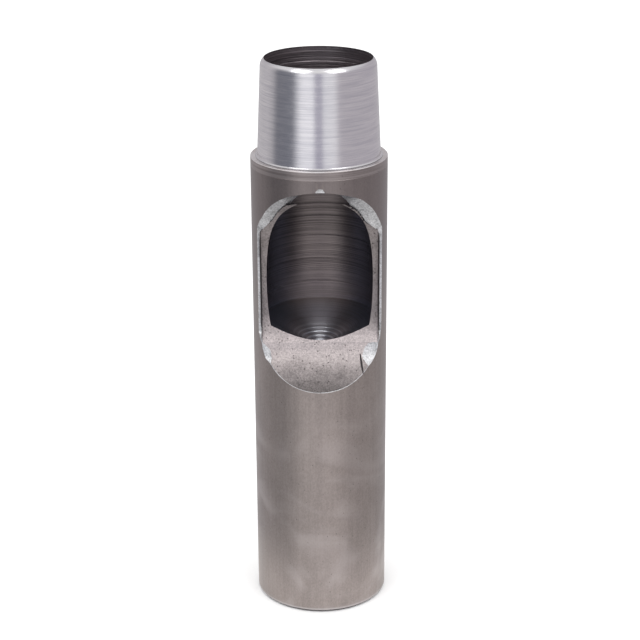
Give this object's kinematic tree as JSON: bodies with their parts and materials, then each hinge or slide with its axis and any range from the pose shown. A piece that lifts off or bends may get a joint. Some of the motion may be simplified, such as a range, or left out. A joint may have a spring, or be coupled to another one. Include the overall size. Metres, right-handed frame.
{
  "type": "drive hole punch",
  "caption": "Hollow drive punch: round steel shank with a side window and a thin-walled, tapered, sharp-edged tubular head for cutting round holes in leather and gaskets.",
  "frame": {"origin": "centre of the flat striking face", "axes": "+Z along the punch's axis, from the striking face to the cutting edge; -Y faces out of the side window; X runs across the window"},
  "size_m": [0.032, 0.032, 0.1351],
  "materials": {
    "ground_steel": "fine-turned and bright, with a polished edge",
    "tempered_steel": "heat-treated and satin, with faint scratches"
  },
  "bodies": {
    "root": {"cutting_head": "ground_steel", "shank": "tempered_steel"}
  },
  "joints": []
}
